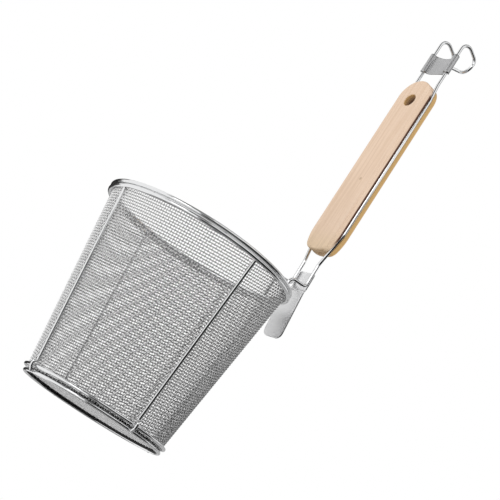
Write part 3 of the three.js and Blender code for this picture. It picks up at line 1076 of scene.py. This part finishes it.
@dataclass
class Grip:
    """Flat wooden grip with rounded edges, a groove down each narrow side and a hanging hole.

    The surface is a grid that closes both ways: once round the outline, and once round the section from the
    hole's wall over the front face, round the edge and back over the rear face.
    """

    line: HandleLine
    wires: HandleWire
    foot: float = 8.6
    top: float = 159.0
    width: float = 30.2
    thickness: float = 11.0
    taper: float = 17.0
    crown: float = 15.0
    foot_bulge: float = 1.6
    foot_corner: float = 3.2
    edge: float = 1.5
    groove: float = 1.35
    inset: float = 0.4
    hole: float = 5.0
    hole_edge: float = 0.8
    hole_drop: float = 18.0
    stations: int = 420
    flat: float = 0.5  # how far the rounded edges' sections reach on to the faces
    lips: tuple[float, float, float] = (1.7, 1.2, 0.25)  # points of the section beside the groove
    lip: float = -9.0  # stands in the section for a point on the groove's lip
    # Sideways facing at which the painted shade in front of each wire starts, and the span over which it
    # comes in.
    gap_shade_facing: tuple[float, float] = (0.93, 0.06)
    end_facing: tuple[float, float] = (0.75, 0.5)
    shade: float = 0.9
    shade_span: tuple[float, float] = (0.8, 4.0)
    low_rise: float = 22.0
    knot: tuple[float, float, float] = (0.0625, -0.002, 0.2424)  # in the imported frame, metres

    def wire_across(self, along: np.ndarray) -> np.ndarray:
        """Distance of the wires from the middle, on straight runs between their bends."""
        wires = self.wires
        stops = [0.0, wires.spread_end, wires.crown_start, wires.grip_top]
        places = [wires.bridge_half, wires.groove_half, wires.groove_half, wires.keeper_half]
        return np.interp(along, stops, places)

    def outline(self) -> np.ndarray:
        """Evenly spaced outline: a bulging foot, two tapers, straight sides and an elliptic crown."""
        half = self.width / 2
        corner = float(self.wire_across(np.array(self.foot))) + self.inset
        share = np.linspace(0, 1, 40)
        low = self.foot + self.foot_bulge
        taper_top = self.foot + self.taper
        shoulder = self.top - self.crown
        foot = np.stack([corner * share, self.foot + self.foot_bulge * share ** 2], axis=1)
        bulge = 2 * share * (1 - share)
        taper = np.stack([
            corner * (1 - share) ** 2 + half * (bulge + share ** 2),
            low * (1 - share) ** 2 + (low + taper_top) / 2 * bulge + taper_top * share ** 2,
        ], axis=1)
        turn = share * np.pi / 2
        crown = np.stack([half * np.cos(turn), shoulder + self.crown * np.sin(turn)], axis=1)
        corner_run = self.corner_path(foot, taper)
        right = np.concatenate([corner_run, crown])
        left = right[-2:0:-1] * np.array([-1, 1])
        loop = np.concatenate([right, left, right[:1]])
        lengths = np.concatenate([[0], np.cumsum(np.linalg.norm(np.diff(loop, axis=0), axis=1))])
        wanted = np.linspace(0, lengths[-1], self.stations, endpoint=False)
        return np.stack([np.interp(wanted, lengths, loop[:, axis]) for axis in (0, 1)], axis=1)

    def corner_path(self, foot: np.ndarray, taper: np.ndarray) -> np.ndarray:
        """Foot and taper joined by a soft corner: (1-t)^2 a + 2t(1-t) c + t^2 b from run to run.

        Args:
            foot: Points of the foot, from the middle to the corner.
            taper: Points of the taper, from the corner up.

        Returns:
            One run of points.
        """
        corner = taper[0]
        foot = foot[np.linalg.norm(foot - corner, axis=1) > self.foot_corner]
        taper = taper[np.linalg.norm(taper - corner, axis=1) > self.foot_corner]
        share = np.linspace(0, 1, 14)[1:-1, None]
        soft = (1 - share) ** 2 * foot[-1] + 2 * share * (1 - share) * corner + share ** 2 * taper[0]
        return np.concatenate([foot, soft, taper])

    def rim_section(self) -> tuple[np.ndarray, np.ndarray, np.ndarray]:
        """Section round the outer edge, from the front face to the rear one.

        Returns:
            Depth in from the outline, place through the thickness, and how far each point follows the groove
            (its own depth below the groove's middle, or not a number where it lies outside the groove).
        """
        half, edge, groove = self.thickness / 2, self.edge, self.groove
        turn = np.linspace(0, np.pi / 2, 6)
        lips = -groove - np.array(self.lips)
        depth = np.concatenate([[edge + self.flat], edge * (1 - np.sin(turn)), 0 * lips])
        through = np.concatenate([[-half], -half + edge * (1 - np.cos(turn)), lips])
        dip = np.linspace(-np.pi / 2, np.pi / 2, 11)
        slot = np.full(len(depth), np.nan)
        depth = np.concatenate([depth, [0.12], np.zeros(len(dip)), [0.12], depth[::-1]])
        through = np.concatenate([through, [-groove], groove * np.sin(dip), [groove], -through[::-1]])
        slot = np.concatenate([slot, [self.lip], groove * np.cos(dip), [self.lip], slot])
        return depth, through, slot

    def bore_section(self) -> tuple[np.ndarray, np.ndarray]:
        """Section down the hole's wall with rounded edges, from the rear face to the front one.

        Returns:
            Distance from the hole's middle, and place through the thickness.
        """
        half, edge = self.thickness / 2, self.hole_edge
        turn = np.linspace(0, np.pi / 2, 5)
        rounded = self.hole + edge * (1 - np.sin(turn))
        reach = np.concatenate([[self.hole + edge + self.flat], rounded, [self.hole]])
        through = np.concatenate([[half], half - edge * (1 - np.cos(turn)), [0.0]])
        return np.concatenate([reach, reach[-2::-1]]), np.concatenate([through, -through[-2::-1]])

    def marks(self, facing: np.ndarray, through: np.ndarray, reach: np.ndarray,
              bored: np.ndarray) -> dict[str, np.ndarray]:
        """Values on the points for the finish: the rear of the sides, the ends, and the painted shade in the
        gap in front of each wire and down the hole's wall.

        Args:
            facing: How far the outline faces sideways, one value to a station.
            through: Place through the thickness round the outer edge.
            reach: Distance from the hole's middle down its wall.
            bored: Place through the thickness down its wall.

        Returns:
            The values by name.
        """
        half, edge = self.thickness / 2, self.hole_edge
        facing = facing[:, None]
        outer = np.concatenate([np.ones(len(through)), np.zeros(len(reach))])
        sides = np.concatenate([
            eased((half - np.abs(through)) / self.edge),
            eased((half - np.abs(bored)) / edge),
        ])
        rear = np.concatenate([eased(through - 0.5), eased(0.5 - bored / half)])
        # Painted shade on the front lip beside the groove, for the gap in front of the wire, where the
        # outline faces sideways.
        beside = eased((through + self.groove + self.lips[0]) / 0.5) * eased(0.5 - through)
        sideways = eased((facing - self.gap_shade_facing[0]) / self.gap_shade_facing[1])
        gap_shade = np.concatenate([beside, 0 * reach]) * sideways
        inside = eased((self.hole + 0.6 * edge - reach) / (0.6 * edge))
        start, span = self.shade_span
        shade = np.concatenate([0 * through, self.shade * inside * eased((bored + half - start) / span)])
        ends = sides * outer * eased((self.end_facing[0] - facing) / self.end_facing[1])
        return {
            "side": (sides * rear + 0 * facing).ravel(),
            # The groove mark carries the painted shade in front of each wire and in the hole.
            "groove": (gap_shade + shade).ravel(),
            "end": ends.ravel(),
        }

    def surface(self) -> Surface:
        """The grip as one closed surface, with the marks that its finish reads."""
        outline = self.outline()
        ahead = unit(np.roll(outline, -1, axis=0) - np.roll(outline, 1, axis=0))
        inward = np.stack([-ahead[:, 1], ahead[:, 0]], axis=1)
        facing = np.abs(inward[:, 0])
        depth, through, slot = self.rim_section()
        inset = (np.abs(outline[:, 0]) - self.wire_across(outline[:, 1])) * facing
        sunk = np.maximum(np.nan_to_num(inset[:, None] + slot[None, :], nan=0.0), 0.0)
        depths = np.where(np.isnan(slot)[None, :], depth[None, :], np.where(slot[None, :] < -1, 0.0, sunk))
        rim = outline[:, None, :] + depths[:, :, None] * inward[:, None, :]
        centre = np.array([0.0, self.top - self.hole_drop])
        reach, bored = self.bore_section()
        bore = centre + reach[None, :, None] * unit(outline - centre)[:, None, :]
        flat = np.concatenate([rim, bore], axis=1)
        out = np.broadcast_to(np.concatenate([through, bored]), flat.shape[:2])
        surface = loft(self.line.point(flat[..., 0], flat[..., 1], out), closed=True)
        surface.marks = self.marks(facing, through, reach, bored)
        return surface

    def build(self) -> None:
        """Makes the grip."""
        foot = float(self.line.point(0.0, self.foot)[..., 2])
        wood = WoodFinish(
            "pale_wood",
            Slot.WOOD,
            face=(0.93, 0.71, 0.54),
            streak=(0.77, 0.55, 0.385),
            edge=(0.68, 0.43, 0.17),
            end=(0.52, 0.36, 0.21),
            # Painted shade in the gap in front of each wire and down the hole's wall.
            groove=(0.12, 0.05, 0.025),
            low=(0.89, 0.68, 0.47),
            lean=self.line.lean,
            low_span=(foot * MM, (foot + self.low_rise) * MM),
            knot=self.knot,
        )
        place("wooden_grip", self.surface(), wood, ["grip"])


@dataclass
class KeeperClip:
    """Satin sheet that sags between the two wires and rolls round each of them."""

    line: HandleLine
    foot: float = 171.0
    height: float = 15.0
    sheet: float = 0.8
    half: float = 12.3
    sleeve: float = 1.9
    bow: float = 3.0
    roll: float = math.radians(240)
    wave: float = 0.5

    def section(self) -> np.ndarray:
        """Middle line of the sheet, outwards and across: a sagging web, then an arc round each wire."""
        share = np.linspace(0, 1, 24)
        near = self.half - self.sleeve
        web = np.stack([self.bow * (1 - share ** 2), near * (1 - (1 - share) ** 2)], axis=1)
        turn = np.linspace(-np.pi / 2, -np.pi / 2 - self.roll, 34)[1:]
        arc = np.stack([self.sleeve * np.cos(turn), self.half + self.sleeve * np.sin(turn)], axis=1)
        right = np.concatenate([web, arc])
        return np.concatenate([right[:0:-1] * np.array([1, -1]), right])

    def surface(self) -> Surface:
        """The sheet given its thickness and carried along the handle, with softly waved ends."""
        middle = self.section()
        way = np.gradient(middle, axis=0)
        normal = unit(np.stack([-way[:, 1], way[:, 0]], axis=1))
        loop = np.concatenate([middle + normal * self.sheet / 2, (middle - normal * self.sheet / 2)[::-1]])
        across = np.abs(loop[:, 1]) / self.half
        wave = self.wave * np.cos(np.pi * np.clip(across, 0, 1))
        rise = np.linspace(0, 1, 24)[:, None]
        along = self.foot + self.height * rise + wave * (2 * np.abs(rise - 0.5)) ** 4 * np.sign(0.5 - rise)
        rings = self.line.point(loop[None, :, 1], along, loop[None, :, 0])
        return loft(rings)

    def build(self) -> None:
        """Makes the clip."""
        place("keeper_clip_sheet", self.surface(), SATIN, ["keeper_clip"])


@dataclass
class HookPlate:
    """Bright plate: a tab against the wires, a step in below them and a tongue that leans out from there."""

    x: float = 86.55
    bend_z: float = 150.5
    tab: float = 14.6
    tongue: float = 37.7
    tab_width: float = 16.4
    width: float = 20.8
    sheet: float = 1.0
    step: float = 2.2
    step_height: float = 3.0
    lean: float = math.radians(5)
    corner: float = 5.0
    tab_corner: float = 1.5
    edge: float = 0.3

    def surface(self) -> Surface:
        """Sections stacked along the plate: half width w(s) with elliptic ends, on a line that steps in.

        At a distance c - t from an end with corner radius c, the half width is w - c + sqrt(c^2 - t^2).
        """
        turn = np.linspace(0.02, np.pi / 2, 14)
        low = -self.tongue + self.corner * (1 - np.cos(turn))
        high = self.tab - self.tab_corner * (1 - np.cos(turn[::-1]))
        along = np.concatenate([low, np.linspace(low[-1], high[0], 90)[1:-1], high])
        down = np.clip(self.corner - (along + self.tongue), 0, self.corner)
        above = np.clip(self.tab_corner - (self.tab - along), 0, self.tab_corner)
        stepped = eased(0.5 - along / self.step_height)
        half = (self.tab_width + (self.width - self.tab_width) * stepped) / 2
        half = half - self.corner + np.sqrt(self.corner ** 2 - down ** 2)
        half = half - self.tab_corner + np.sqrt(self.tab_corner ** 2 - above ** 2)
        x = self.x - self.step * stepped + math.tan(self.lean) * np.maximum(-along, 0)
        z = self.bend_z + along
        share = np.linspace(-1, 1, 15)
        ring_out = np.concatenate([0 * share, 0 * share + self.sheet])
        ring_across = np.concatenate([share, share[::-1]])
        rings = np.stack([
            x[:, None] + ring_out[None, :] + 0 * half[:, None],
            half[:, None] * ring_across[None, :],
            z[:, None] + 0 * ring_out[None, :],
        ], axis=-1)
        return loft(rings)

    def build(self) -> None:
        """Makes the plate and gives its edges a small round."""
        piece = place("pot_hook_plate_sheet", self.surface(), MIRROR, ["pot_hook_plate"])
        bevel = piece.modifiers.new("soft_edges", "BEVEL")
        bevel.width = self.edge * MM
        bevel.segments = 3
        bevel.limit_method = "ANGLE"
        bevel.angle_limit = math.radians(40)


# Studio


@dataclass
class Studio:
    """Camera, light, floor and the grey and black flags whose reflections draw the wires' edges.

    Each flag has a name, a grey, its first and last rise and its first and last turn, in degrees.
    """

    position: tuple[float, float, float] = (-444.24, -755.05, -60.44)
    aim: tuple[float, float, float] = (37.42, 2.06, 150.91)
    roll: float = math.radians(32.215)
    lens: float = 98.01
    ambient: float = 0.85
    key_place: tuple[float, float, float] = (-1150.0, -420.0, 650.0)
    key_size: float = 0.45
    key_power: float = 1.5
    floor_radius: float = 3000.0
    flag_radius: float = 1500.0
    flags: tuple[tuple[str, float, float, float, float, float], ...] = (
        ("low_dark_flag", 0.015, -50, 10, -15, 104),
        ("high_dark_flag", 0.015, 26, 60, -62, 0),
        ("right_dark_flag", 0.02, 10, 20, 38, 100),
        ("right_flag", 0.45, -50, 10, 104, 140),
        ("right_high_flag", 0.5, 26, 60, 78, 140),
        ("back_flag", 0.55, -50, 60, 140, 195),
        ("left_dark_flag", 0.03, -20, 30, -165, -126),
        ("zenith_flag", 0.35, 60, 90, -180, 180),
        ("floor_flag", 0.3, -90, -50, -180, 180),
    )

    def __post_init__(self) -> None:
        """Works out the camera's line of sight and the level directions square to it."""
        self.forward = unit(np.array(self.aim) - np.array(self.position))
        self.level = unit(np.cross(self.forward, [0, 0, 1]))
        self.upright = np.cross(self.level, self.forward)

    def camera(self) -> None:
        """Sets the camera where the photograph was taken from, rolled about its line of sight."""
        data = bpy.data.cameras.new("photo_camera")
        data.lens = self.lens
        data.sensor_width = 36.0
        data.clip_start = 0.01
        data.clip_end = 50.0
        camera = linked("photo_camera", data)
        right = math.cos(self.roll) * self.level + math.sin(self.roll) * self.upright
        up = -math.sin(self.roll) * self.level + math.cos(self.roll) * self.upright
        matrix = np.eye(4)
        matrix[:3, 0], matrix[:3, 1], matrix[:3, 2] = right, up, -self.forward
        matrix[:3, 3] = (np.array(self.position) + AXIS) * MM
        camera.matrix_world = Matrix(matrix.tolist())
        bpy.context.scene.camera = camera

    def world(self) -> None:
        """Lights the scene plainly, with a white background for the eye and for reflections."""
        world = bpy.data.worlds.new("white_studio")
        world.use_nodes = True
        bpy.context.scene.world = world
        shader = Shader(world.node_tree)
        seen = shader.node("ShaderNodeLightPath", {}, {}, "Is Camera Ray")
        for ray in ("Is Glossy Ray", "Is Transmission Ray"):
            seen = seen.largest(shader.node("ShaderNodeLightPath", {}, {}, ray))
        strength = self.ambient + seen * (1 - self.ambient)
        light = shader.node("ShaderNodeBackground", {}, {"Color": (1, 1, 1, 1), "Strength": strength})
        shader.node("ShaderNodeOutputWorld", {}, {"Surface": light})

    def key(self) -> None:
        """Adds the soft key light, on the side of the grip's front face."""
        data = bpy.data.lights.new("key_light", "AREA")
        data.shape = "SQUARE"
        data.size = self.key_size
        data.energy = self.key_power
        lamp = linked("key_light", data)
        position = (np.array(self.key_place) + AXIS) * MM
        target = (np.array(self.aim) + AXIS) * MM
        lamp.location = Vector(position)
        lamp.rotation_euler = Vector(target - position).to_track_quat("-Z", "Y").to_euler()

    def stage_piece(self, name: str, surface: Surface, material: bpy.types.Material) -> bpy.types.Object:
        """Makes a piece of the stage."""
        piece = linked(name, surface.mesh(name))
        piece.data.materials.append(material)
        return piece

    def floor(self) -> None:
        """Lays a pale floor that only the eye sees, from above, with the part's shadow on it."""
        turn = np.linspace(0, 2 * np.pi, 96, endpoint=False)
        disc = Surface(self.floor_radius * around(turn), [np.arange(len(turn))[None, :]])
        material, shader = new_material("pale_floor")
        above = 1 - shader.node("ShaderNodeNewGeometry", {}, {}, "Backfacing")
        eye = shader.node("ShaderNodeLightPath", {}, {}, "Is Camera Ray")
        pale = shader.node("ShaderNodeBsdfDiffuse", {}, {"Color": (0.97, 0.97, 0.97, 1)})
        clear = shader.node("ShaderNodeBsdfTransparent", {}, {})
        shown = shader.node("ShaderNodeMixShader", {}, {0: above * eye, 1: clear, 2: pale})
        shader.node("ShaderNodeOutputMaterial", {}, {"Surface": shown})
        self.stage_piece("floor", disc, material)

    def flag(self, name: str, grey: float, low: float, high: float, first: float, last: float) -> None:
        """Hangs one flag: a patch of a sphere round the part that only reflections see.

        At the rise e and the turn a from the camera's side, a point lies at
        c + R (cos e (cos a B + sin a L) + sin e Z), with B level towards the camera and L level to its right.

        Args:
            name: Name of the flag.
            grey: Grey of its cloth.
            low: First rise, in degrees.
            high: Last rise.
            first: First turn to the right of the camera.
            last: Last turn.
        """
        rows, columns = 33, 65
        rise = np.radians(np.linspace(low, high, rows))[:, None, None]
        turn = np.radians(np.linspace(first, last, columns))[None, :, None]
        back = unit(self.forward * np.array([-1, -1, 0]))
        level = np.cos(turn) * back + np.sin(turn) * self.level
        points = np.cos(rise) * level + np.sin(rise) * UP
        number = np.arange(rows * columns).reshape(rows, columns)
        quads = np.stack([number[:-1, :-1], number[1:, :-1], number[1:, 1:], number[:-1, 1:]], axis=-1)
        places = (np.array(self.aim) + self.flag_radius * points).reshape(-1, 3)
        piece = self.stage_piece(name, Surface(places, [quads.reshape(-1, 4)]), self.cloth(name, grey))
        piece.visible_camera = False
        piece.visible_diffuse = False
        piece.visible_transmission = False
        piece.visible_shadow = False

    def cloth(self, name: str, grey: float) -> bpy.types.Material:
        """Matt grey cloth for a flag."""
        material, shader = new_material(name)
        shader.surface({"Base Color": rgba((grey,) * 3), "Roughness": 1.0})
        return material

    def build(self) -> None:
        """Sets the camera, the light, the floor and the flags."""
        self.camera()
        self.world()
        self.key()
        self.floor()
        for flag in self.flags:
            self.flag(*flag)
        bpy.context.scene.view_settings.view_transform = "Standard"


def main() -> None:
    """Builds the studio and the part's sub-assemblies in order."""
    logging.basicConfig(level=logging.INFO, format="%(name)s: %(message)s")
    Studio().build()
    shape = BasketShape()
    WovenMesh(shape).build()
    WireFrame(shape).build()
    line = HandleLine()
    wires = HandleWire(line)
    wires.build()
    Grip(line, wires).build()
    KeeperClip(line).build()
    HookPlate().build()


if __name__ == "__main__":
    main()
